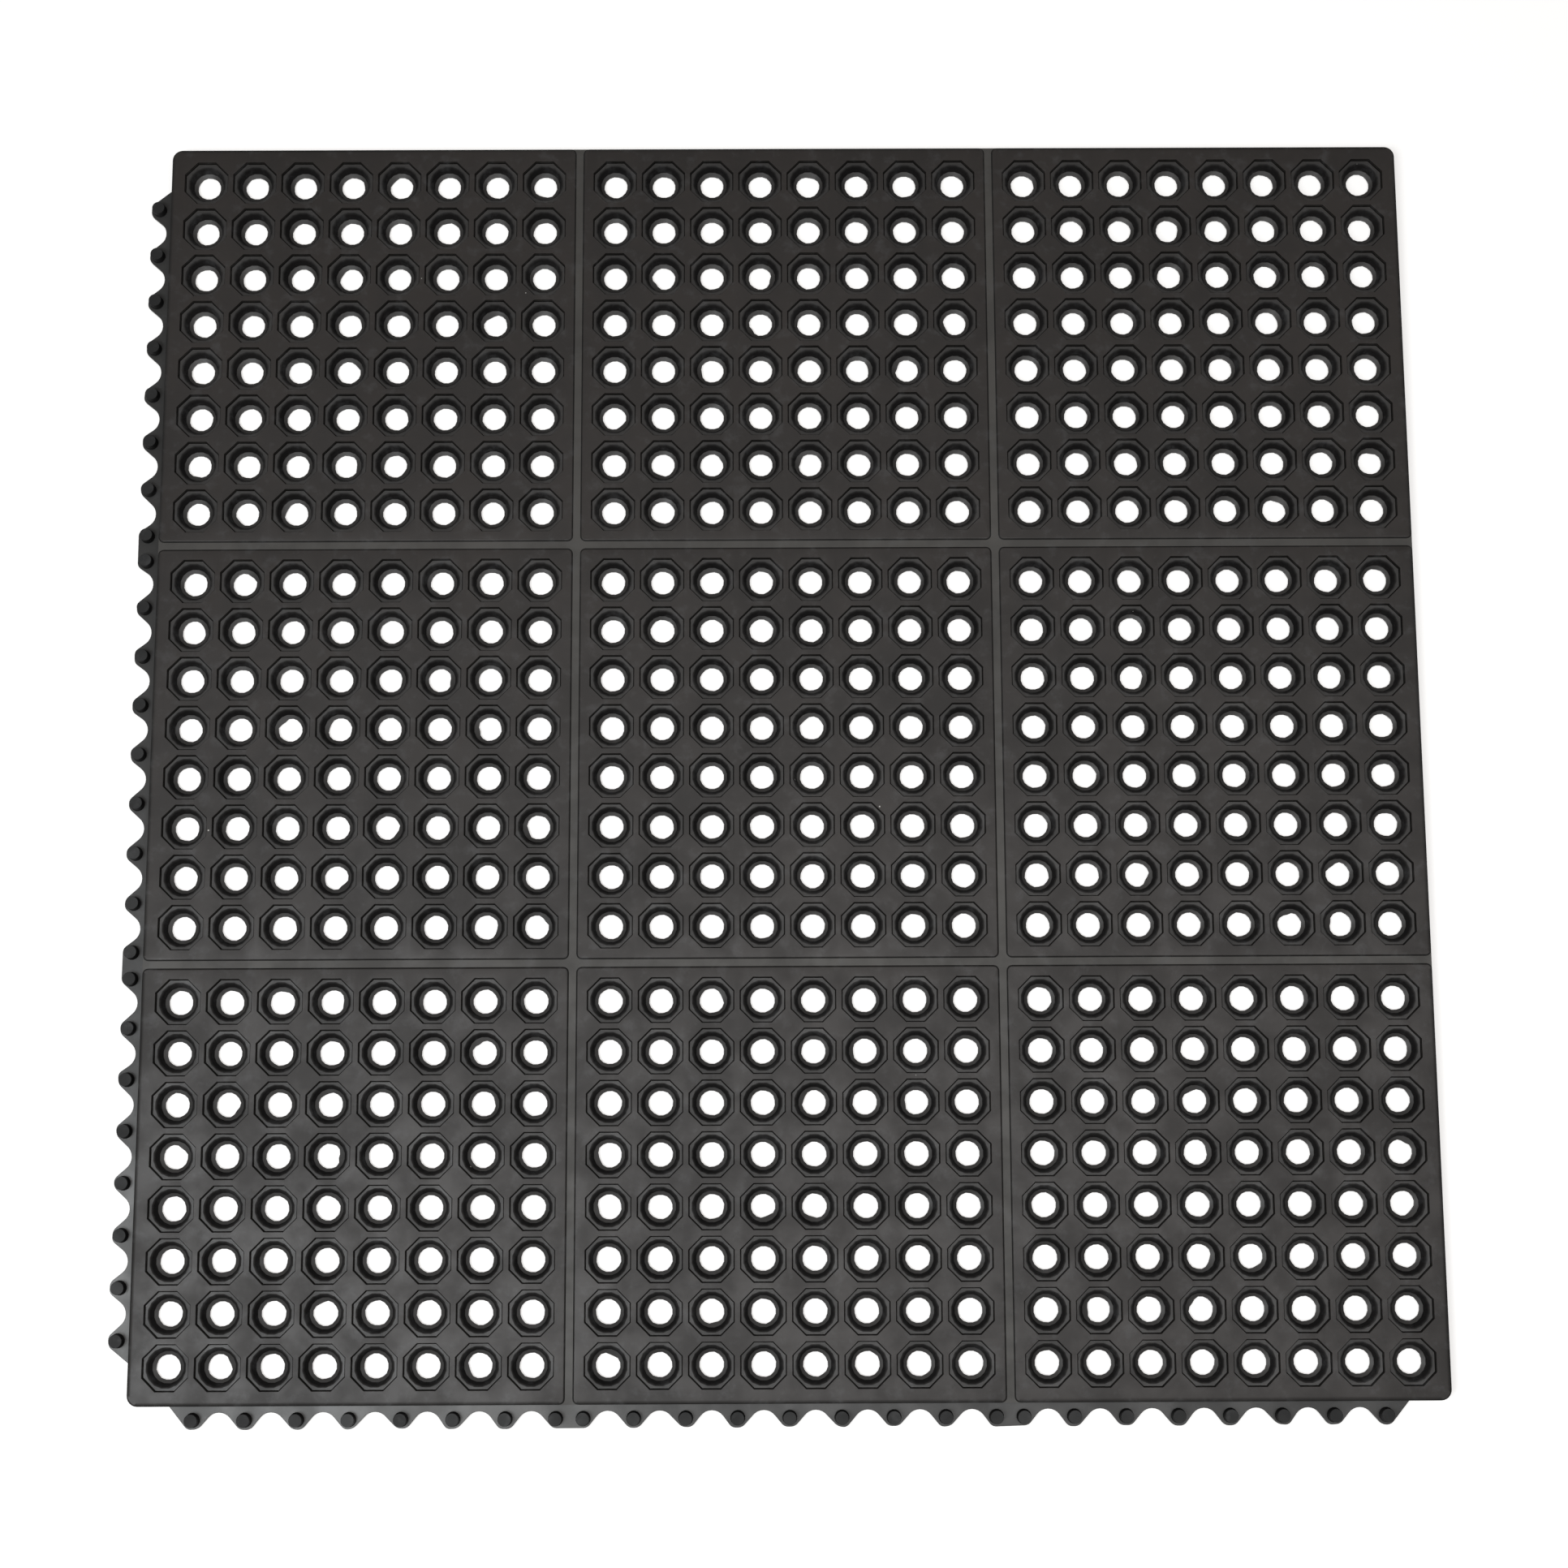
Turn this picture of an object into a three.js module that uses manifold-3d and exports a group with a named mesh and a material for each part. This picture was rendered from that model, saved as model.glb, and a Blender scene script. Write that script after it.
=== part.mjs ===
// Rubber drainage mat, moulded in one piece.
// Square blocks of drain holes are parted by shallow grooves. A thin scalloped flange with upright pegs
// runs along the left and front edges, and the same shape is cut from under the right and rear edges,
// so that the next mat's flange and pegs fit beneath. The mat lies on z = 0 with its middle at the
// origin, +X to the right and +Y to the rear. All sizes are millimetres.
import * as THREE from 'three';
import { mergeGeometries, mergeVertices } from 'three/addons/utils/BufferGeometryUtils.js';
import Module from 'manifold-3d';

const wasm = await Module();
wasm.setup();

// Slab: one row of blocks is one mesh, from the front row to the rear one
const ROW_NAMES = ['front_block_row', 'middle_block_row', 'rear_block_row'];
const BLOCK_SIZE = 304.8;          // middle of one groove to the middle of the next
const THICKNESS = 12.7;            // underside to standing face
const MAT_CORNER_RADIUS = 8;
const CORNER_STEPS = 3;

// Grooves between the blocks
const GROOVE_WIDTH = 5.2;          // across the groove's floor
const GROOVE_DEPTH = 1;
const BLOCK_CORNER_RADIUS = 4;
const BLOCK_EDGE_LEAN = 0.9;       // how far a block's edge leans in on its way up

// Drain holes: eight-sided funnels through the whole thickness
const HOLE_PITCH = 36;
const HOLE_SIDES = 8;
const HOLE_WEB = 5;                // rubber left between two holes in the standing face
const HOLE_MARGIN = 8;             // least rubber between a hole and the edge of its block
const DRAIN_WIDTH = 18.5;          // flat to flat at the underside

// Flange along the left and front edges
const FLANGE_THICKNESS = 3.5;
const FLANGE_REACH = 16.5;         // edge of the mat to the tip of a tooth
const FLANGE_NECK = 4.5;           // edge of the mat to the middle of a scallop
const SCALLOP_RADIUS = 10;
const SCALLOP_STEPS = 3;
const TOOTH_TIP_WIDTH = 7.4;

// Pegs on the flange, one between two holes and a pair across each groove
const PEG_DIAMETER = 9.5;
const PEG_SIDES = 6;
const PEG_HEIGHT = 6.5;            // above the flange
const PEG_OUT = 9.5;               // edge of the mat to the peg's middle
const PEG_PAIR_SPACING = 19;

// Room for the next mat's flange and pegs, under the right and rear edges
const SIDE_CLEARANCE = 0.5;
const TOP_CLEARANCE = 0.8;

// Cutters run past the faces that they open, and added shapes are rooted in the slab, by this much
const OVERRUN = 1;

const RUBBER = { color: 0x3b3937, roughness: 0.72, metalness: 0 };

const blockCount = ROW_NAMES.length;
const matHalf = (BLOCK_SIZE * blockCount) / 2;
const holeWidth = HOLE_PITCH - HOLE_WEB;
const holesPerBlock = 1 + Math.floor((BLOCK_SIZE - holeWidth - 2 * HOLE_MARGIN) / HOLE_PITCH);
const rebateHeight = FLANGE_THICKNESS + TOP_CLEARANCE;
const socketTop = FLANGE_THICKNESS + PEG_HEIGHT + TOP_CLEARANCE;

const blockMiddles = ROW_NAMES.map((_, i) => (i + 0.5) * BLOCK_SIZE - matHalf);
const grooveLines = blockMiddles.slice(1).map((middle) => middle - BLOCK_SIZE / 2);
const holeLines = blockMiddles.flatMap((middle) => {
  const first = middle - ((holesPerBlock - 1) * HOLE_PITCH) / 2;
  return Array.from({ length: holesPerBlock }, (_, i) => first + i * HOLE_PITCH);
});

// Where the pegs stand along an edge
const pegLines = [];
for (let i = 1; i < holeLines.length; i += 1) {
  const between = (holeLines[i - 1] + holeLines[i]) / 2;
  if (i % holesPerBlock === 0) {
    pegLines.push(between - PEG_PAIR_SPACING / 2, between + PEG_PAIR_SPACING / 2);
  } else {
    pegLines.push(between);
  }
}

// Solids and geometries
function solidOf(geometry) {
  geometry.deleteAttribute('normal');
  geometry.deleteAttribute('uv');
  const merged = mergeVertices(geometry);
  return new wasm.Manifold(new wasm.Mesh({
    numProp: 3,
    vertProperties: merged.getAttribute('position').array,
    triVerts: Uint32Array.from(merged.index.array),
  }));
}

function geometryOf(solid) {
  const mesh = solid.getMesh();
  const geometry = new THREE.BufferGeometry();
  geometry.setAttribute('position', new THREE.BufferAttribute(mesh.vertProperties, 3));
  geometry.setIndex(new THREE.BufferAttribute(mesh.triVerts, 1));
  geometry.computeVertexNormals();
  return geometry;
}

// A flat outline, given as points, made into a solid between two heights
function slab(points, bottom, top) {
  const geometry = new THREE.ExtrudeGeometry(new THREE.Shape(points), {
    depth: top - bottom,
    bevelEnabled: false,
  });
  return geometry.translate(0, 0, bottom);
}

// An upright prism or funnel with its flat sides square to the axes
function prism(x, y, bottom, top, bottomWidth, topWidth, sides) {
  const widthToRadius = 0.5 / Math.cos(Math.PI / sides);
  const geometry = new THREE.CylinderGeometry(
    topWidth * widthToRadius,
    bottomWidth * widthToRadius,
    top - bottom,
    sides,
  );
  geometry.rotateX(Math.PI / 2);
  geometry.rotateZ(Math.PI / sides);
  return geometry.translate(x, y, (bottom + top) / 2);
}

// A rectangle from its lower left to its upper right corner, with one radius for each corner in turn
function roundedRectangle(left, front, right, rear, radii) {
  const corners = [
    { x: left, y: front, inX: 1, inY: 1, start: Math.PI },
    { x: right, y: front, inX: -1, inY: 1, start: 1.5 * Math.PI },
    { x: right, y: rear, inX: -1, inY: -1, start: 0 },
    { x: left, y: rear, inX: 1, inY: -1, start: 0.5 * Math.PI },
  ];
  return corners.flatMap((corner, i) => {
    const radius = radii[i];
    return Array.from({ length: CORNER_STEPS + 1 }, (_, step) => {
      const turn = corner.start + (step / CORNER_STEPS) * (Math.PI / 2);
      return new THREE.Vector2(
        corner.x + radius * (corner.inX + Math.cos(turn)),
        corner.y + radius * (corner.inY + Math.sin(turn)),
      );
    });
  });
}

// One block's raised top, whose edges lean in from the groove's floor to the standing face
function blockTop(column, row) {
  const last = blockCount - 1;
  const halfGroove = GROOVE_WIDTH / 2;
  const left = blockMiddles[column] - BLOCK_SIZE / 2 + (column === 0 ? 0 : halfGroove);
  const right = blockMiddles[column] + BLOCK_SIZE / 2 - (column === last ? 0 : halfGroove);
  const front = blockMiddles[row] - BLOCK_SIZE / 2 + (row === 0 ? 0 : halfGroove);
  const rear = blockMiddles[row] + BLOCK_SIZE / 2 - (row === last ? 0 : halfGroove);
  const radii = [
    column === 0 && row === 0,
    column === last && row === 0,
    column === last && row === last,
    column === 0 && row === last,
  ].map((isMatCorner) => (isMatCorner ? MAT_CORNER_RADIUS : BLOCK_CORNER_RADIUS));
  const floor = THICKNESS - GROOVE_DEPTH;
  const geometry = new THREE.ExtrudeGeometry(
    new THREE.Shape(roundedRectangle(left, front, right, rear, radii)),
    {
      depth: OVERRUN,
      bevelThickness: GROOVE_DEPTH,
      bevelSize: BLOCK_EDGE_LEAN,
      bevelOffset: -BLOCK_EDGE_LEAN,
      bevelSegments: 1,
    },
  );
  return geometry.translate(0, 0, floor - OVERRUN);
}

// The flange's outline along one edge, as points (along the edge, out from it).
// The room around it in the next mat is the same outline, wider by a clearance, in plainer scallops.
function flangeOutline(clearance, scallopSteps) {
  const neck = FLANGE_NECK + clearance;
  const reach = FLANGE_REACH + clearance;
  const radius = SCALLOP_RADIUS - clearance;
  const halfOpening = (HOLE_PITCH - TOOTH_TIP_WIDTH) / 2 - clearance;
  const tipOut = reach - neck - radius;
  const tipDistance = Math.hypot(halfOpening, tipOut);
  const sweep = Math.atan2(halfOpening, -tipOut) - Math.acos(radius / tipDistance);
  const flankRun = (reach / Math.tan(sweep));
  const points = [];
  holeLines.forEach((line, i) => {
    if (i === 0) {
      points.push(new THREE.Vector2(line + halfOpening - flankRun, 0));
      points.push(new THREE.Vector2(line + halfOpening, reach));
    } else if (i === holeLines.length - 1) {
      points.push(new THREE.Vector2(line - halfOpening, reach));
      points.push(new THREE.Vector2(line - halfOpening + flankRun, 0));
    } else {
      points.push(new THREE.Vector2(line - halfOpening, reach));
      for (let step = 0; step <= scallopSteps; step += 1) {
        const turn = sweep * ((2 * step) / scallopSteps - 1);
        points.push(new THREE.Vector2(
          line + radius * Math.sin(turn),
          neck + radius * (1 - Math.cos(turn)),
        ));
      }
      points.push(new THREE.Vector2(line + halfOpening, reach));
    }
  });
  return points;
}

// Turns (along, out) into (x, y) for each edge of the mat; out is negative under the slab
const alongLeft = (along, out) => new THREE.Vector2(-matHalf - out, along);
const alongFront = (along, out) => new THREE.Vector2(along, -matHalf - out);
const alongRight = (along, out) => new THREE.Vector2(matHalf - out, along);
const alongRear = (along, out) => new THREE.Vector2(along, matHalf - out);

// Closes an outline behind the edge by a depth, so that it is rooted in the slab or runs out of it
function edgeSlab(outline, place, behind, bottom, top) {
  const first = outline[0].x;
  const last = outline[outline.length - 1].x;
  const closed = [...outline, new THREE.Vector2(last, -behind), new THREE.Vector2(first, -behind)];
  return slab(closed.map((point) => place(point.x, point.y)), bottom, top);
}

function pegsAlong(place, bottom, top, width, sides) {
  return pegLines.map((line) => {
    const middle = place(line, PEG_OUT);
    return prism(middle.x, middle.y, bottom, top, width, width, sides);
  });
}

// The slab with its raised blocks, flanges and pegs
const matCorners = Array(4).fill(MAT_CORNER_RADIUS);
let mat = solidOf(slab(
  roundedRectangle(-matHalf, -matHalf, matHalf, matHalf, matCorners),
  0,
  THICKNESS - GROOVE_DEPTH,
));
const flange = flangeOutline(0, SCALLOP_STEPS);
const added = [
  solidOf(edgeSlab(flange, alongLeft, OVERRUN, 0, FLANGE_THICKNESS)),
  solidOf(edgeSlab(flange, alongFront, OVERRUN, 0, FLANGE_THICKNESS)),
];
for (let column = 0; column < blockCount; column += 1) {
  for (let row = 0; row < blockCount; row += 1) {
    added.push(solidOf(blockTop(column, row)));
  }
}
for (const place of [alongLeft, alongFront]) {
  const pegTop = FLANGE_THICKNESS + PEG_HEIGHT;
  const pegs = pegsAlong(place, FLANGE_THICKNESS / 2, pegTop, PEG_DIAMETER, PEG_SIDES);
  added.push(solidOf(mergeGeometries(pegs)));
}
for (const solid of added) mat = mat.add(solid);

// Room for the next mat, with square sockets for its pegs
const room = flangeOutline(SIDE_CLEARANCE, 1);
const socketWidth = PEG_DIAMETER + 2 * SIDE_CLEARANCE;
for (const place of [alongRight, alongRear]) {
  const sockets = pegsAlong(place, rebateHeight - OVERRUN, socketTop, socketWidth, 4);
  mat = mat.subtract(solidOf(edgeSlab(room, place, OVERRUN, -OVERRUN, rebateHeight)));
  mat = mat.subtract(solidOf(mergeGeometries(sockets)));
}

// Drain holes, whose walls run on past both faces at the same slope
const holeSlope = (holeWidth - DRAIN_WIDTH) / THICKNESS;
const holes = holeLines.flatMap((x) => holeLines.map((y) => prism(
  x,
  y,
  -OVERRUN,
  THICKNESS + OVERRUN,
  DRAIN_WIDTH - OVERRUN * holeSlope,
  holeWidth + OVERRUN * holeSlope,
  HOLE_SIDES,
)));
mat = mat.subtract(solidOf(mergeGeometries(holes)));

// One mesh for each row of blocks, meeting the next in the middle of a groove
const drainageMat = new THREE.Group();
drainageMat.name = 'drainage_mat';
const beyond = matHalf + FLANGE_REACH + OVERRUN;
const rowEnds = [-beyond, ...grooveLines, beyond];
ROW_NAMES.forEach((name, row) => {
  const width = 2 * beyond;
  const depth = rowEnds[row + 1] - rowEnds[row];
  const strip = new THREE.BoxGeometry(width, depth, 2 * (THICKNESS + OVERRUN));
  strip.translate(0, (rowEnds[row] + rowEnds[row + 1]) / 2, 0);
  const mesh = new THREE.Mesh(
    geometryOf(mat.intersect(solidOf(strip))),
    new THREE.MeshStandardMaterial(RUBBER),
  );
  mesh.name = name;
  drainageMat.add(mesh);
});

export default drainageMat;
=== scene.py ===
# %% [markdown]
# # A rubber drainage mat
#
# The mat is one moulding of black rubber: nine square blocks of drain holes, parted by shallow grooves.
# Along two edges runs a thin scalloped flange with upright pegs. Under the other two edges the same shape
# is left open, so that the next mat locks on.
#
# A real mat comes out of a steel mould. Each hole is the print of one steel plug, so the mat is modelled in
# that way too: the rubber is built up from plain bodies, and one plug shape is pressed through it many times.

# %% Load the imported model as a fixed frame
import math
import random

import bmesh
import bpy
from mathutils import Matrix, Vector


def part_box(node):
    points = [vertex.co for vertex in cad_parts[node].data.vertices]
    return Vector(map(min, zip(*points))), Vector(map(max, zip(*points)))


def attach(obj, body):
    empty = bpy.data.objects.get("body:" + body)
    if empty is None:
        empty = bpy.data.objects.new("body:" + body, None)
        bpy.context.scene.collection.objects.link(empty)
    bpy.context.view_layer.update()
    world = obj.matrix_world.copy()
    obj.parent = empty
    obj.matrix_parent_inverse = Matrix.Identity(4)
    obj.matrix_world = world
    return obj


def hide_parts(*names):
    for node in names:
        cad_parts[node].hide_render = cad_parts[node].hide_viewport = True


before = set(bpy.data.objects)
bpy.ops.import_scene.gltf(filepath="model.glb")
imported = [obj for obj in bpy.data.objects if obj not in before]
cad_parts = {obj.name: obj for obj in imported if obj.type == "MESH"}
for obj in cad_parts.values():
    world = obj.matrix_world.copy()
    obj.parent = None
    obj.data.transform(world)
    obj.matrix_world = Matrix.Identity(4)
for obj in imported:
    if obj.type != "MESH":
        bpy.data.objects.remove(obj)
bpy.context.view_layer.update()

MM = 0.001
NEAR = 0.01 * MM
TINY = 0.001 * MM
print("nodes in the frame:", sorted(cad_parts))

# %% [markdown]
# ## Sizes
#
# The frame gives the outer sizes: the body's half width, the flange's reach and the thickness. What the
# frame can't say is judged against the mat's width and written here once. The rest follows from these.

# %% Read the outer sizes from the frame
front_low, front_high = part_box("front_block_row")
middle_low, middle_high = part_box("middle_block_row")
HALF = front_high.x
REACH = -front_low.x - HALF
THICKNESS = front_high.z
BLOCK = middle_high.y - middle_low.y
BLOCKS = round(2 * HALF / BLOCK)
print(f"body {2 * HALF:.4f} m square, {THICKNESS:.4f} m thick, flange {REACH:.4f} m, {BLOCKS} blocks a side")

# %% Sizes of the holes, grooves, flange and pegs
HOLE_PITCH = 36 * MM
HOLES_IN_BLOCK = 8
OCTAGON = 8
ROUND_STEPS = 16
GROOVE_WIDTH = 5.2 * MM
GROOVE_DEPTH = 1.0 * MM
BLOCK_CORNER = 4.0 * MM
BLOCK_CORNER_STEPS = 4
MAT_CORNER = 8.0 * MM
MAT_CORNER_STEPS = 6
WALL_LEAN = 0.5 * MM
FLANGE_THICKNESS = 3.5 * MM
FLANGE_NECK = 4.5 * MM
SCALLOP_RADIUS = 10 * MM
TOOTH_TIP = 7.4 * MM
PEG_RADIUS = 4.75 * MM
PEG_TOP = 10.0 * MM
PEG_OUT = 9.5 * MM
PEG_PAIR = 19 * MM
SIDE_CLEARANCE = 0.5 * MM
ROOM_HEIGHT = 4.3 * MM
SOCKET_TOP = 10.8 * MM

block_middles = [(i + 0.5) * BLOCK - HALF for i in range(BLOCKS)]
first_hole = (HOLES_IN_BLOCK - 1) * HOLE_PITCH / 2
hole_lines = [m - first_hole + i * HOLE_PITCH for m in block_middles for i in range(HOLES_IN_BLOCK)]
peg_lines = []
for i in range(1, len(hole_lines)):
    between = (hole_lines[i - 1] + hole_lines[i]) / 2
    if i % HOLES_IN_BLOCK == 0:
        peg_lines += [between - PEG_PAIR / 2, between + PEG_PAIR / 2]
    else:
        peg_lines.append(between)
print(len(hole_lines) ** 2, "holes and", 2 * len(peg_lines), "pegs")

# %% [markdown]
# ## Helpers
#
# Each shape is made in a bmesh and then turned into an object. Booleans join and cut the objects. The
# manifold solver is the fast one, and it always gives back a closed solid, but it needs closed solids to
# start with. So each helper below makes or keeps one.


# %% Turn a bmesh into an object
def object_from(bm, name):
    bmesh.ops.remove_doubles(bm, verts=bm.verts, dist=TINY)
    bmesh.ops.recalc_face_normals(bm, faces=bm.faces)
    mesh = bpy.data.meshes.new(name)
    bm.to_mesh(mesh)
    bm.free()
    made = bpy.data.objects.new(name, mesh)
    bpy.context.scene.collection.objects.link(made)
    return made


# %% Join or cut one object with another
def combine(target, tool, operation):
    step = target.modifiers.new(operation, "BOOLEAN")
    step.operation = operation
    step.solver = "MANIFOLD"
    step.object = tool
    settled = target.evaluated_get(bpy.context.evaluated_depsgraph_get())
    mesh = bpy.data.meshes.new_from_object(settled)
    target.modifiers.clear()
    target.data = mesh
    bpy.data.objects.remove(tool)
    print(f"{operation.lower():10} -> {len(mesh.polygons)} faces")


# %% A plain box between two corners, which most bodies start from
def add_box(bm, low, high):
    made = bmesh.ops.create_cube(bm, size=1)["verts"]
    size = Vector(high) - Vector(low)
    bmesh.ops.scale(bm, vec=size, verts=made)
    bmesh.ops.translate(bm, vec=(Vector(high) + Vector(low)) / 2, verts=made)
    return made


# %% Round the upright edges of a body
def round_corners(bm, verts, radius, segments, where=lambda edge: True):
    chosen = set(verts)
    upright = [
        edge for edge in bm.edges
        if edge.verts[0] in chosen and edge.verts[1] in chosen
        and abs(edge.verts[0].co.z - edge.verts[1].co.z) > NEAR
        and where(edge)
    ]
    bmesh.ops.bevel(
        bm, geom=upright, offset=radius, segments=segments,
        profile=0.5, affect="EDGES", material=-1,
    )


# %% [markdown]
# ## The slab
#
# Below the grooves the rubber is one square plate. Its walls lean in a little towards the top, because a
# moulding has to slip out of its mould. A box with four rounded corners does it, with the top ring scaled in.

# %% Make the slab up to the floor of the grooves
GROOVE_FLOOR = THICKNESS - GROOVE_DEPTH
bm = bmesh.new()
verts = add_box(bm, (-HALF, -HALF, 0), (HALF, HALF, GROOVE_FLOOR))
round_corners(bm, verts, MAT_CORNER, MAT_CORNER_STEPS)
top_ring = [v for v in bm.verts if v.co.z > GROOVE_FLOOR / 2]
lean = (HALF - WALL_LEAN) / HALF
bmesh.ops.scale(bm, vec=(lean, lean, 1), verts=top_ring)
mat = object_from(bm, "drainage_mat")
print("slab:", len(mat.data.polygons), "faces")

# %% [markdown]
# ## The blocks
#
# Nine raised blocks stand on the slab. Their top edges are soft: two insets, each lifted a little, make a
# small crown at the rim, as moulded rubber has it. Round the outside of the mat the rim rolls over more
# widely, so its points are drawn further in. Straight cuts between the holes then give every hole its own
# square of the top face, so that the boolean leaves no long thin triangles behind.

# %% One raised block, whose rim rises in two steps, each given as inward and up
RIM_STEPS = ((0.70 * MM, 0.60 * MM), (0.70 * MM, 0.26 * MM))
RIM_WIDTH = sum(step[0] for step in RIM_STEPS)
OUTER_RIM_WIDTH = 3.2 * MM
BLOCK_ROOT = 1.0 * MM
LEVEL = 0.999
outer = HALF - WALL_LEAN


def add_block(bm, column, row):
    low = [block_middles[n] - BLOCK / 2 + GROOVE_WIDTH / 2 for n in (column, row)]
    high = [block_middles[n] + BLOCK / 2 - GROOVE_WIDTH / 2 for n in (column, row)]
    low = [max(v, -outer) if n > 0 else -outer for v, n in zip(low, (column, row))]
    high = [min(v, outer) if n < BLOCKS - 1 else outer for v, n in zip(high, (column, row))]
    rise = sum(step[1] for step in RIM_STEPS)
    foot = THICKNESS - rise
    verts = add_box(bm, (low[0], low[1], GROOVE_FLOOR - BLOCK_ROOT), (high[0], high[1], foot))

    def at_mat_corner(edge):
        spot = edge.verts[0].co
        return abs(abs(spot.x) - outer) < NEAR and abs(abs(spot.y) - outer) < NEAR

    before = set(bm.verts) - set(verts)
    round_corners(bm, verts, BLOCK_CORNER, BLOCK_CORNER_STEPS, lambda edge: not at_mat_corner(edge))
    left = [v for v in bm.verts if v not in before]
    round_corners(bm, left, MAT_CORNER - WALL_LEAN, MAT_CORNER_STEPS, at_mat_corner)
    crown = [
        face for face in bm.faces
        if face.normal.z > LEVEL and abs(face.calc_center_median().z - foot) < TINY
        and face.verts[0] not in before
    ]
    rims = []
    for inward, up in RIM_STEPS:
        bmesh.ops.inset_region(bm, faces=crown, thickness=inward, use_even_offset=True)
        rims.append(list({v for f in crown for v in f.verts}))
        bmesh.ops.translate(bm, vec=(0, 0, up), verts=rims[-1])
    for v in {v for rim in rims for v in rim}:
        for n in (0, 1):
            depth = outer - abs(v.co[n])
            if depth < RIM_WIDTH + TINY:
                v.co[n] = math.copysign(outer - depth * OUTER_RIM_WIDTH / RIM_WIDTH, v.co[n])


bm = bmesh.new()
for column in range(BLOCKS):
    for row in range(BLOCKS):
        add_block(bm, column, row)
print("blocks before the cuts:", len(bm.faces), "faces")

# %% Give each hole its own square of the top face
cuts = [(a + b) / 2 for a, b in zip(hole_lines, hole_lines[1:])]
for cut in cuts:
    for axis in ((1, 0, 0), (0, 1, 0)):
        top_faces = [
            face for face in bm.faces
            if face.normal.z > LEVEL and face.calc_center_median().z > THICKNESS - NEAR
        ]
        edges = {e for f in top_faces for e in f.edges}
        bmesh.ops.bisect_plane(
            bm, geom=top_faces + list(edges), dist=TINY / 10,
            plane_co=Vector(axis) * cut, plane_no=axis,
        )
combine(mat, object_from(bm, "blocks"), "UNION")

# %% [markdown]
# ## The flange
#
# The flange is a thin strip with one tooth between every two holes. The bay between two teeth is an arc that
# runs on in straight flanks. Spinning a point makes the arc, and the outline then only needs its straight
# pieces. The same outline, a little wider, is the room that the mat leaves for its neighbour's flange.


# %% Where a flank leaves the arc of its bay
def bay_shape(clearance):
    neck = FLANGE_NECK + clearance
    reach = REACH + clearance
    radius = SCALLOP_RADIUS - clearance
    opening = (HOLE_PITCH - TOOTH_TIP) / 2 - clearance
    out = reach - neck - radius
    sweep = math.atan2(opening, -out) - math.acos(radius / math.hypot(opening, out))
    return neck, reach, radius, opening, sweep


# %% The strip along an edge, between two heights; ragged teeth end at slightly different places
RAGGED_TIP = 0.9 * MM
chance = random.Random(11)


def flange_strip(edge_y, clearance, bottom, top, behind, arc_steps, ragged):
    neck, reach, radius, opening, sweep = bay_shape(clearance)

    def at(x, out):
        if ragged and out == reach:
            out -= chance.uniform(0, RAGGED_TIP)
            x += chance.uniform(-RAGGED_TIP, RAGGED_TIP)
        return (x, edge_y - out, bottom)

    bm = bmesh.new()
    chain = []
    run = reach / math.tan(sweep)
    first, last = hole_lines[0], hole_lines[-1]
    chain.append(bm.verts.new(at(first + opening - run, -behind)))
    chain.append(bm.verts.new(at(first + opening - run, 0)))
    chain.append(bm.verts.new(at(first + opening, reach)))
    for line in hole_lines[1:-1]:
        chain.append(bm.verts.new(at(line - opening, reach)))
        begin = bm.verts.new(at(line - radius * math.sin(sweep), neck + radius * (1 - math.cos(sweep))))
        before = set(bm.verts)
        bmesh.ops.spin(
            bm, geom=[begin], cent=at(line, neck + radius), axis=(0, 0, -1), angle=2 * sweep,
            steps=arc_steps, use_merge=False, use_duplicate=False,
        )
        arc = sorted([begin] + [v for v in bm.verts if v not in before], key=lambda v: v.co.x)
        chain += arc
        chain.append(bm.verts.new(at(line + opening, reach)))
    chain.append(bm.verts.new(at(last - opening, reach)))
    chain.append(bm.verts.new(at(last - opening + run, 0)))
    chain.append(bm.verts.new(at(last - opening + run, -behind)))
    for a, b in zip(chain, chain[1:] + chain[:1]):
        if bm.edges.get((a, b)) is None:
            bm.edges.new((a, b))
    face = bm.faces.new(chain)
    raised = bmesh.ops.extrude_face_region(bm, geom=[face])["geom"]
    lifted = [v for v in raised if isinstance(v, bmesh.types.BMVert)]
    bmesh.ops.translate(bm, vec=(0, 0, top - bottom), verts=lifted)
    return bm


# %% The other edge is made in the same way and mirrored across the mat's diagonal
SWAP = Matrix(((0, 1, 0, 0), (1, 0, 0, 0), (0, 0, 1, 0), (0, 0, 0, 1)))


def along_both_edges(make_strip):
    bm = make_strip()
    mirrored = make_strip()
    bmesh.ops.transform(mirrored, matrix=SWAP, verts=mirrored.verts)
    carrier = bpy.data.meshes.new("mirrored")
    mirrored.to_mesh(carrier)
    mirrored.free()
    bm.from_mesh(carrier)
    bpy.data.meshes.remove(carrier)
    return bm


# %% Round the tips and the top edge of the teeth, then join both flanges to the slab
TIP_RADIUS = 2.4 * MM
TIP_STEPS = 3
SOFT_EDGE = 0.4 * MM
SOFT_EDGE_STEPS = 2
FLANGE_ROOT = 1.5 * MM
BAY_STEPS = 8


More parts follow.
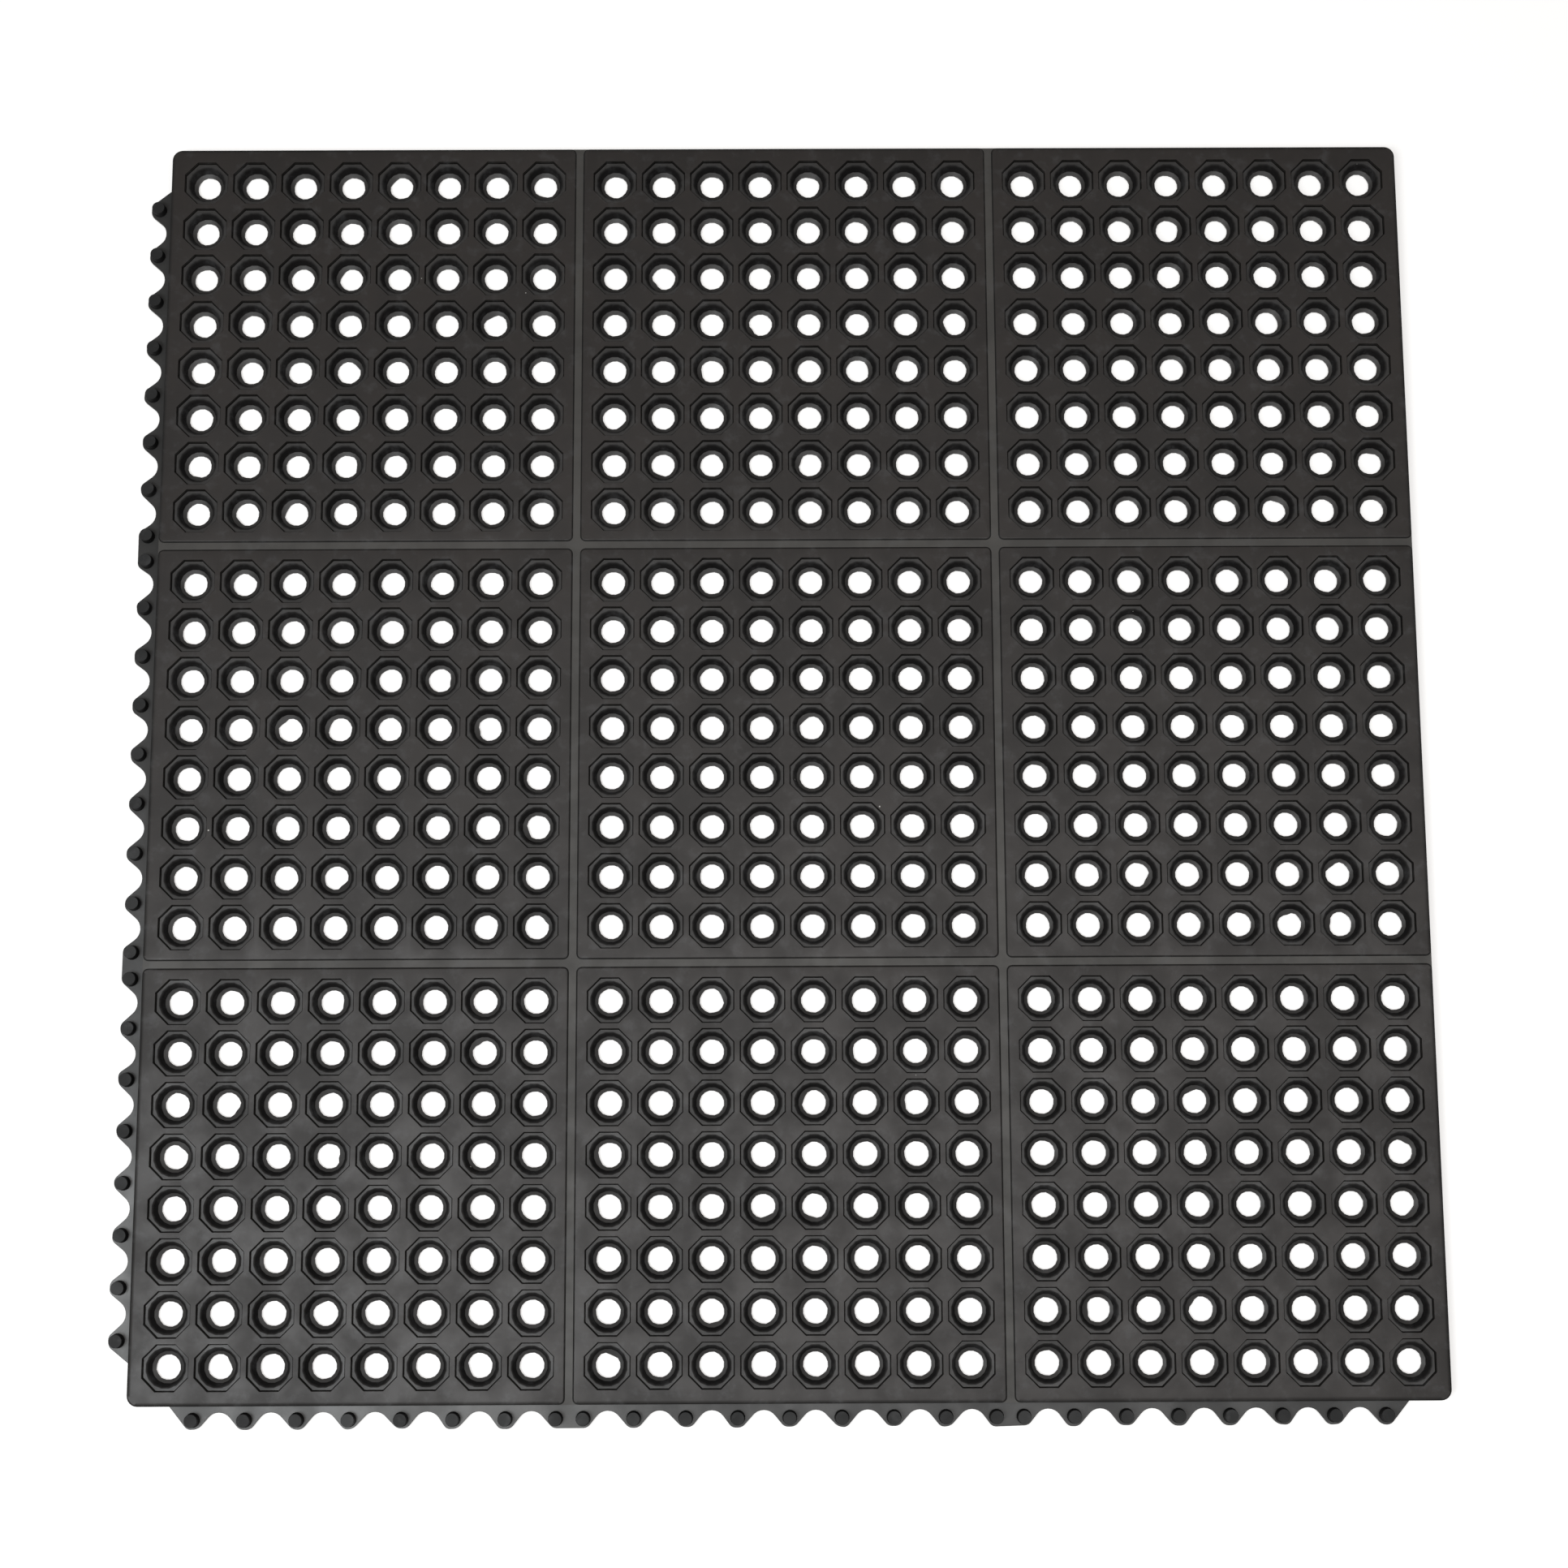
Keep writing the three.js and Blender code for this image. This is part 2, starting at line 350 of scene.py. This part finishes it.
def flange_teeth():
    bm = flange_strip(-HALF, 0, 0, FLANGE_THICKNESS, FLANGE_ROOT, BAY_STEPS, True)
    tips = [
        edge for edge in bm.edges
        if abs(edge.verts[0].co.z - edge.verts[1].co.z) > NEAR
        and edge.verts[0].co.y < -HALF - REACH + RAGGED_TIP + NEAR
    ]
    bmesh.ops.bevel(
        bm, geom=tips, offset=TIP_RADIUS, segments=TIP_STEPS,
        profile=0.5, affect="EDGES", material=-1,
    )
    bm.normal_update()
    rim = [
        edge for edge in bm.edges
        if min(v.co.z for v in edge.verts) > FLANGE_THICKNESS - TINY
        and min(v.co.y for v in edge.verts) < -HALF - SOFT_EDGE / 2
    ]
    bmesh.ops.bevel(
        bm, geom=rim, offset=SOFT_EDGE, segments=SOFT_EDGE_STEPS,
        profile=0.5, affect="EDGES", material=-1, clamp_overlap=True,
    )
    return bm


combine(mat, object_from(along_both_edges(flange_teeth), "flanges"), "UNION")

# %% [markdown]
# ## A body made of rings
#
# Pegs, sockets and drain holes are all the same kind of body: flat rings stacked on one another. A ring has
# eight sides or many. Bridging each ring to the next gives the wall, and the first and last ring are
# capped. Where an eight-sided ring meets a round one, the bridge fans out by itself.

# %% One ring, turned by half a side, so that an octagon has a flat to the front
def add_ring(bm, width, height, sides):
    radius = width / 2 / math.cos(math.pi / OCTAGON) if sides == OCTAGON else width / 2
    verts = bmesh.ops.create_circle(bm, cap_ends=False, segments=sides, radius=radius)["verts"]
    bmesh.ops.rotate(bm, cent=(0, 0, 0), matrix=Matrix.Rotation(math.pi / sides, 3, "Z"), verts=verts)
    bmesh.ops.translate(bm, vec=(0, 0, height), verts=verts)
    return list({edge for v in verts for edge in v.link_edges})


# %% A closed body from its rings, which are given as width, height and number of sides
def ringed_body(name, rings):
    bm = bmesh.new()
    loops = [add_ring(bm, *ring) for ring in rings]
    for upper, lower in zip(loops, loops[1:]):
        bmesh.ops.bridge_loops(bm, edges=upper + lower)
    for loop in (loops[0], loops[-1]):
        bmesh.ops.contextual_create(bm, geom=loop)
    bmesh.ops.recalc_face_normals(bm, faces=bm.faces)
    print(f"{name}: {len(bm.faces)} faces, closed: {all(e.is_manifold for e in bm.edges)}")
    mesh = bpy.data.meshes.new(name)
    bm.to_mesh(mesh)
    bm.free()
    return mesh


# %% Put copies of a body in a row beside the front edge, or beside the rear one
def row_of(mesh, y):
    bm = bmesh.new()
    for line in peg_lines:
        before = set(bm.verts)
        bm.from_mesh(mesh)
        bmesh.ops.translate(bm, vec=(line, y, 0), verts=[v for v in bm.verts if v not in before])
    return bm


# %% [markdown]
# ## The pegs
#
# One peg stands on the flange between every two holes, and a pair stands across each groove. A peg is
# nearly a cylinder, with a small fillet at its foot and a softened top edge.

# %% Make one peg and stand copies of it on both flanges
PEG_WIDTH = 2 * PEG_RADIUS
PEG_EDGE = 0.3 * MM
PEG_TAPER = 0.1 * MM
PEG_FILLET_OUT = 0.5 * MM
PEG_FILLET_UP = 0.9 * MM
PEG_ROOT = 1.5 * MM
peg = ringed_body("peg", (
    (PEG_WIDTH - 2 * PEG_EDGE, PEG_TOP, ROUND_STEPS),
    (PEG_WIDTH - PEG_TAPER, PEG_TOP - PEG_EDGE, ROUND_STEPS),
    (PEG_WIDTH, FLANGE_THICKNESS + PEG_FILLET_UP, ROUND_STEPS),
    (PEG_WIDTH + 2 * PEG_FILLET_OUT, FLANGE_THICKNESS, ROUND_STEPS),
    (PEG_WIDTH, FLANGE_THICKNESS - PEG_ROOT, ROUND_STEPS),
))
pegs = object_from(along_both_edges(lambda: row_of(peg, -HALF - PEG_OUT)), "pegs")
combine(mat, pegs, "UNION")

# %% [markdown]
# ## Room for the next mat
#
# Under the right and rear edges the outline of the flange is cut away, with a little clearance, and a round
# socket is sunk for each peg. Nobody sees this side in use, so it is finished plainly.

# %% Cut the rooms and the sockets
OVERSHOOT = 1.0 * MM
ROOM_BAY_STEPS = 4


def room_strip():
    return flange_strip(HALF, SIDE_CLEARANCE, -OVERSHOOT, ROOM_HEIGHT, OVERSHOOT, ROOM_BAY_STEPS, False)


rooms = along_both_edges(room_strip)
combine(mat, object_from(rooms, "rooms"), "DIFFERENCE")

SOCKET_WIDTH = PEG_WIDTH + 2 * SIDE_CLEARANCE
socket = ringed_body("socket", (
    (SOCKET_WIDTH, SOCKET_TOP, ROUND_STEPS),
    (SOCKET_WIDTH, ROOM_HEIGHT - OVERSHOOT, ROUND_STEPS),
))
sockets = object_from(along_both_edges(lambda: row_of(socket, HALF - PEG_OUT)), "sockets")
combine(mat, sockets, "DIFFERENCE")

# %% [markdown]
# ## The drain holes
#
# Seen from above, a hole starts as an eight-sided step with steep sides. A flat band runs from its foot to a
# round mouth, a steep wall drops to a narrow ledge, and the hole itself opens in the ledge's middle. Its edge
# is never clean, because a little rubber creeps between the two halves of the mould: that is the flash.
#
# So one plug has ten rings. The upper ones are octagons and the lower ones circles. The lip's points are
# then nudged at random for each hole, with one seed, so that every run gives the same mat.

# %% One plug, from above the mat to below it
plug_mesh = ringed_body("plug", (
    (32.4 * MM, THICKNESS + OVERSHOOT, OCTAGON),        # above the mat, so that the cut is clean
    (32.4 * MM, THICKNESS - 0.02 * MM, OCTAGON),        # upper edge of the step
    (31.9 * MM, THICKNESS - 0.30 * MM, OCTAGON),        # the same edge, worn soft
    (30.6 * MM, THICKNESS - 2.60 * MM, OCTAGON),        # foot of the step
    (28.2 * MM, THICKNESS - 2.70 * MM, ROUND_STEPS),    # inner edge of the flat band
    (26.6 * MM, THICKNESS - 3.30 * MM, ROUND_STEPS),    # rounded mouth
    (25.6 * MM, THICKNESS - 4.20 * MM, ROUND_STEPS),    # top of the wall
    (22.0 * MM, 3.30 * MM, ROUND_STEPS),                # foot of the wall
    (17.2 * MM, 2.30 * MM, ROUND_STEPS),                # inner edge of the ledge, which is the lip
    (17.8 * MM, -OVERSHOOT, ROUND_STEPS),               # below the mat
))

# %% Nudge the lip of a plug: a little everywhere, and far inward where it has flash
FLASH_SHARE = 0.16
EVEN_NUDGE = 0.22 * MM
FLASH_REACH = (0.6 * MM, 2.2 * MM)
FLASH_SPREAD = 0.7
LIP_TOP = 2.5 * MM
FULL_TURN = 2 * math.pi


def nudge_lip(plug):
    flash_at = chance.uniform(0, FULL_TURN)
    flash = chance.uniform(*FLASH_REACH) if chance.random() < FLASH_SHARE else 0
    nudges = [chance.uniform(-EVEN_NUDGE, EVEN_NUDGE) for _ in range(ROUND_STEPS)]
    for v in plug:
        if v.co.z < LIP_TOP:
            turn = math.atan2(v.co.y, v.co.x) % FULL_TURN
            away = abs((turn - flash_at + math.pi) % FULL_TURN - math.pi)
            inward = nudges[int(turn / FULL_TURN * ROUND_STEPS)]
            inward += flash * max(0.0, 1 - away / FLASH_SPREAD)
            rest = 1 - inward / math.hypot(v.co.x, v.co.y)
            v.co.x *= rest
            v.co.y *= rest


# %% Press a plug through the mat at every crossing of the hole lines
bm = bmesh.new()
for x in hole_lines:
    for y in hole_lines:
        start = len(bm.verts)
        bm.from_mesh(plug_mesh)
        bm.verts.ensure_lookup_table()
        plug = bm.verts[start:]
        nudge_lip(plug)
        bmesh.ops.translate(bm, vec=(x, y, 0), verts=plug)
combine(mat, object_from(bm, "plugs"), "DIFFERENCE")

# %% [markdown]
# ## Shading of the surface
#
# The mat is smooth where it bends gently and sharp at its steps. Marking every edge above a small angle as
# sharp keeps the flat faces flat, and the weighted normals do the same for the soft rims.

# %% Shade smooth, with the steps kept sharp
SHARP_ANGLE = math.radians(32)
mesh = mat.data
mesh.shade_smooth()
mesh.set_sharp_from_angle(angle=SHARP_ANGLE)
weighted = mat.modifiers.new("weighted_normals", "WEIGHTED_NORMAL")
weighted.keep_sharp = True
mesh.calc_loop_triangles()
print("drainage mat:", len(mesh.polygons), "faces,", len(mesh.loop_triangles), "triangles")

# %% [markdown]
# ## The rubber
#
# Black rubber is never quite black. The standing face is dull and a little brown from wear. The deep walls
# are painted almost black as painted shade, the step walls dark with painted shade and dirt, the ledges
# painted lighter as painted light, the groove floors lighter, and the flange pale as a painted sheen. The
# height of a point above the floor tells all of that apart, so one colour ramp over the height paints the
# body, and a second one the flange and its pegs. Image textures could do it too, but a ramp stays sharp at
# any distance.
# Noise at several sizes then breaks the colours up, and a thin film and a few specks of dust lie over them.

# %% Small helpers for nodes
def node(tree, kind, **values):
    made = tree.nodes.new(kind)
    for key, value in values.items():
        setattr(made, key, value)
    return made


def math_node(tree, operation, a, b, clamp=False):
    made = node(tree, "ShaderNodeMath", operation=operation, use_clamp=clamp)
    for socket, value in zip(made.inputs, (a, b)):
        if isinstance(value, (int, float)):
            socket.default_value = value
        else:
            tree.links.new(value, socket)
    return made.outputs[0]


def blend_colour(tree, factor, a, b, how="MIX"):
    made = node(tree, "ShaderNodeMix", data_type="RGBA", blend_type=how)
    for socket, value in ((made.inputs[0], factor), (made.inputs[6], a), (made.inputs[7], b)):
        if isinstance(value, tuple):
            socket.default_value = (*value, 1)
        elif isinstance(value, (int, float)):
            socket.default_value = value
        else:
            tree.links.new(value, socket)
    return made.outputs[2]


def noise(tree, vector, scale, detail=4.0, roughness=0.55):
    made = node(tree, "ShaderNodeTexNoise")
    tree.links.new(vector, made.inputs["Vector"])
    made.inputs["Scale"].default_value = scale
    made.inputs["Detail"].default_value = detail
    made.inputs["Roughness"].default_value = roughness
    return made.outputs["Fac"]


def spread(tree, value, low, high, new_low=0.0, new_high=1.0):
    made = node(tree, "ShaderNodeMapRange", interpolation_type="SMOOTHSTEP")
    tree.links.new(value, made.inputs["Value"])
    made.inputs["From Min"].default_value = low
    made.inputs["From Max"].default_value = high
    made.inputs["To Min"].default_value = new_low
    made.inputs["To Max"].default_value = new_high
    return made.outputs["Result"]


# %% A ramp over the height, with its stops in millimetres above the floor
def by_height(tree, z, stops):
    ramp = node(tree, "ShaderNodeValToRGB")
    tree.links.new(math_node(tree, "DIVIDE", z, THICKNESS), ramp.inputs["Fac"])
    elements = ramp.color_ramp.elements
    elements.remove(elements[1])
    for n, (height, value) in enumerate(stops):
        place = height * MM / THICKNESS
        stop = elements[0] if n == 0 else elements.new(place)
        stop.position = place
        stop.color = (*value, 1) if isinstance(value, tuple) else (value, value, value, 1)
    return ramp.outputs["Color"]


# %% The colours of the rubber
STANDING = (0.032, 0.027, 0.0245)
# Step walls, painted dark: some dirt in the steps, and painted shade where the steps shade themselves.
STEP_SHADE_AND_DIRT = (0.008, 0.007, 0.006)
BAND = (0.028, 0.026, 0.025)
# Outer rim of the flat band, painted lighter: a painted highlight.
BAND_RIM_HIGHLIGHT = (0.047, 0.044, 0.042)
GROOVE = (0.078, 0.073, 0.067)
# Deep walls of the holes and sides of the pegs, painted almost black: painted shade.
WALL_SHADE = (0.011, 0.010, 0.010)
# Ledges in the holes, painted lighter than the standing face: painted light for the light that falls on them
# from above.
LEDGE_PAINTED_LIGHT = (0.048, 0.045, 0.043)
# Flange top, painted pale: a painted sheen, kept at the front left end.
FLANGE_SHEEN = (0.100, 0.098, 0.095)
PEG = (0.012, 0.012, 0.012)
DUST_FILM = (0.105, 0.105, 0.108)
DUST_SPECK = (0.62, 0.60, 0.56)

# %% Colour and roughness by height, in millimetres above the floor
BODY_COLOURS = (
    (0.2, WALL_SHADE), (0.8, LEDGE_PAINTED_LIGHT), (3.2, LEDGE_PAINTED_LIGHT), (3.9, WALL_SHADE), (8.0, WALL_SHADE), (9.95, BAND), (10.07, BAND_RIM_HIGHLIGHT),
    (10.14, BAND_RIM_HIGHLIGHT), (10.25, STEP_SHADE_AND_DIRT), (11.60, STEP_SHADE_AND_DIRT), (11.68, GROOVE), (11.74, GROOVE), (11.82, STEP_SHADE_AND_DIRT),
    (12.42, STEP_SHADE_AND_DIRT), (12.64, STANDING),
)
FLANGE_COLOURS = (
    (0.3, WALL_SHADE), (1.2, PEG), (3.1, FLANGE_SHEEN), (3.6, FLANGE_SHEEN), (3.9, WALL_SHADE), (9.3, WALL_SHADE), (9.8, PEG),
)
BODY_ROUGHNESS = (
    (3.2, 0.50), (3.9, 0.95), (9.7, 0.95), (9.95, 0.46), (10.14, 0.46), (10.25, 0.8), (11.6, 0.8),
    (11.68, 0.5), (11.74, 0.5), (11.82, 0.8), (12.42, 0.8), (12.64, 0.46),
)
FLANGE_ROUGHNESS = ((3.6, 0.36), (3.9, 0.8), (9.3, 0.8), (9.8, 0.6))


# %% Colour by place: the flange and its pegs lie beyond the body; the flange is painted pale at its front left end as a painted sheen, and darker elsewhere
BODY_EDGE = (-HALF - 0.3 * MM, -HALF + 0.1 * MM)
PALE_END = (0.16, 0.32)
PALE_FADE = 0.08
SHEEN_FADE_SHARE = 0.65


# Painted sheen: the flange keeps its pale tone at the front left end and is blended towards the pegs' dark
# tone elsewhere.
def coloured_by_place(tree, place):
    split = node(tree, "ShaderNodeSeparateXYZ")
    tree.links.new(place, split.inputs[0])
    x, y, z = split.outputs
    lowest = math_node(tree, "MINIMUM", x, y)
    beyond_body = spread(tree, lowest, *BODY_EDGE, 1.0, 0.0)
    along = [math_node(tree, "ADD", axis, start) for axis, start in zip((x, y), PALE_END)]
    sheen_fade = spread(tree, math_node(tree, "MAXIMUM", *along), 0.0, PALE_FADE, 0.0, SHEEN_FADE_SHARE)
    flange = blend_colour(tree, sheen_fade, by_height(tree, z, FLANGE_COLOURS), PEG)
    colour = blend_colour(tree, beyond_body, by_height(tree, z, BODY_COLOURS), flange)
    dullness = [by_height(tree, z, stops) for stops in (BODY_ROUGHNESS, FLANGE_ROUGHNESS)]
    return colour, blend_colour(tree, beyond_body, *dullness)


# %% Cloudy tones over the colour, as rubber has them from the mould
BROAD_SCALE = 5.0
PATCH_SCALE = 38.0


def clouded(tree, place, patches, colour):
    broad = noise(tree, place, BROAD_SCALE, 3.0)
    near_tone = spread(tree, patches, 0.32, 0.68, 0.85, 1.15)
    far_tone = spread(tree, broad, 0.3, 0.7, -0.1, 0.1)
    tone = math_node(tree, "ADD", near_tone, far_tone)
    mottle = node(tree, "ShaderNodeCombineXYZ")
    for socket in mottle.inputs:
        tree.links.new(tone, socket)
    return blend_colour(tree, 1.0, colour, mottle.outputs[0], "MULTIPLY")


# %% A thin film of dust, and a few pale specks
FILM_SCALE = 75.0
SPECK_SCALE = 46.0
SPECK_SIZE = (0.022, 0.030)
RARE_SCALE = 23.0


def dusted(tree, place, colour):
    film = spread(tree, noise(tree, place, FILM_SCALE, 8.0, 0.65), 0.50, 0.72, 0.0, 0.30)
    colour = blend_colour(tree, film, colour, DUST_FILM)
    specks = node(tree, "ShaderNodeTexVoronoi")
    specks.inputs["Scale"].default_value = SPECK_SCALE
    tree.links.new(place, specks.inputs["Vector"])
    dot = spread(tree, specks.outputs["Distance"], *SPECK_SIZE, 1.0, 0.0)
    rare = spread(tree, noise(tree, place, RARE_SCALE, 1.0), 0.64, 0.66)
    return blend_colour(tree, math_node(tree, "MULTIPLY", dot, rare), colour, DUST_SPECK)


# %% Bump: a fine grain on a surface that swells a little
SWELL_SCALE = 16.0
SWELL_HEIGHT = 0.9 * MM
GRAIN_SCALE = 900.0
GRAIN_HEIGHT = 0.08 * MM
GRAIN_STRENGTH = 0.35


def bumped(tree, height, strength, distance):
    made = node(tree, "ShaderNodeBump")
    made.inputs["Strength"].default_value = strength
    made.inputs["Distance"].default_value = distance
    tree.links.new(height, made.inputs["Height"])
    return made


def uneven(tree, place):
    swell = bumped(tree, noise(tree, place, SWELL_SCALE, 2.0), 1.0, SWELL_HEIGHT)
    grain = bumped(tree, noise(tree, place, GRAIN_SCALE, 3.0), GRAIN_STRENGTH, GRAIN_HEIGHT)
    tree.links.new(swell.outputs["Normal"], grain.inputs["Normal"])
    return grain.outputs["Normal"]


# %% Black moulded rubber, with its gloss as one number
def make_rubber(name, gloss):
    material = bpy.data.materials.new(name)
    material.use_nodes = True
    tree = material.node_tree
    shader = tree.nodes["Principled BSDF"]
    place = node(tree, "ShaderNodeTexCoord").outputs["Object"]
    patches = noise(tree, place, PATCH_SCALE, 5.0)
    colour, rough = coloured_by_place(tree, place)
    colour = dusted(tree, place, clouded(tree, place, patches, colour))
    rough = math_node(tree, "ADD", rough, spread(tree, patches, 0.3, 0.7, 0.07, -0.07), clamp=True)
    tree.links.new(colour, shader.inputs["Base Color"])
    tree.links.new(rough, shader.inputs["Roughness"])
    tree.links.new(uneven(tree, place), shader.inputs["Normal"])
    shader.inputs["Specular IOR Level"].default_value = gloss
    return material


# %% Steep faces are duller, because the mould scrapes along them as it opens
STEEP = 0.75
MOULDED_GLOSS = 0.5
SCRAPED_GLOSS = 0.15
mesh.materials.clear()
mesh.materials.append(make_rubber("moulded_black_rubber", MOULDED_GLOSS))
mesh.materials.append(make_rubber("scraped_black_rubber", SCRAPED_GLOSS))
for face in mesh.polygons:
    face.material_index = int(abs(face.normal.z) < STEEP)
print("steep faces:", sum(face.material_index for face in mesh.polygons))

# %% The mat stands for the three solids of the frame and moves with their body
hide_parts("front_block_row", "middle_block_row", "rear_block_row")
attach(mat, "root")
print("materials:", [m.name for m in mat.data.materials])

# %% [markdown]
# ## Floor, light and camera
#
# The floor is plain and almost white, so that every hole shows as a bright disc. It glows, because little
# light reaches the bottom of a hole. Black rubber shows its gloss more than its colour, so the lights decide
# how bright it looks: a broad soft box hangs where the front half mirrors it to the camera, a smaller cool
# one brightens the front left corner, and a weak warm one overhead keeps the rear from going black.


# %% Floor
FLOOR_REACH = 6
FLOOR_DROP = 0.3 * MM
FLOOR_GLOW = 0.53


def make_floor():
    bm = bmesh.new()
    bmesh.ops.create_grid(bm, x_segments=1, y_segments=1, size=FLOOR_REACH)
    bmesh.ops.translate(bm, vec=(0, 0, -FLOOR_DROP), verts=bm.verts)
    floor = object_from(bm, "floor")
    material = bpy.data.materials.new("pale_floor")
    material.use_nodes = True
    shader = material.node_tree.nodes["Principled BSDF"]
    shader.inputs["Base Color"].default_value = (0.9, 0.9, 0.9, 1)
    shader.inputs["Roughness"].default_value = 0.9
    shader.inputs["Emission Color"].default_value = (1.0, 0.98, 0.96, 1)
    shader.inputs["Emission Strength"].default_value = FLOOR_GLOW
    floor.data.materials.append(material)
    print("floor:", 2 * FLOOR_REACH, "m square")


make_floor()


# %% Soft light
def add_light(name, size, colour, power, spot, aim):
    light = bpy.data.lights.new(name, "AREA")
    light.shape = "RECTANGLE"
    light.size, light.size_y = size
    light.energy = power
    light.color = colour
    made = bpy.data.objects.new(name, light)
    made.location = spot
    made.rotation_euler = (Vector(aim) - Vector(spot)).to_track_quat("-Z", "Y").to_euler()
    bpy.context.scene.collection.objects.link(made)
    print(f"{name}: {power} W")


add_light("front_left_softbox", (1.2, 1.0), (0.92, 0.97, 1.0), 20, (-1.2, -0.8, 2.4), (0, -0.3, 0))
add_light("broad_softbox", (2.6, 1.0), (1.0, 1.0, 1.0), 21, (0.05, -0.45, 2.4), (0, -0.2, 0))
add_light("overhead_softbox", (3.2, 3.2), (1.0, 0.93, 0.86), 7, (0.2, 0.3, 2.6), (0, 0, 0))

# %% A faint even light from all round
SKY_STRENGTH = 0.12
world = bpy.data.worlds.new("studio")
world.use_nodes = True
sky = world.node_tree.nodes["Background"]
sky.inputs["Color"].default_value = (1, 1, 1, 1)
sky.inputs["Strength"].default_value = SKY_STRENGTH
bpy.context.scene.world = world
bpy.context.scene.view_settings.view_transform = "Standard"

# %% Camera, as the photograph was taken: almost straight down, from a little in front of the middle
PHOTO_PIXELS = 1932
FOCAL_PIXELS = 2937
SENSOR_WIDTH = 36
CAMERA_SPOT = (-0.008, -0.291, 1.7)
CAMERA_TURN = (8.97, -0.16, -0.26)
camera_data = bpy.data.cameras.new("camera")
camera_data.sensor_width = SENSOR_WIDTH
camera_data.lens = FOCAL_PIXELS / PHOTO_PIXELS * SENSOR_WIDTH
camera_data.clip_start = 10 * MM
camera = bpy.data.objects.new("camera", camera_data)
camera.location = CAMERA_SPOT
camera.rotation_euler = [math.radians(angle) for angle in CAMERA_TURN]
bpy.context.scene.collection.objects.link(camera)
bpy.context.scene.camera = camera
print(f"camera {camera.location.z:.2f} m above the floor, lens {camera_data.lens:.1f} mm")
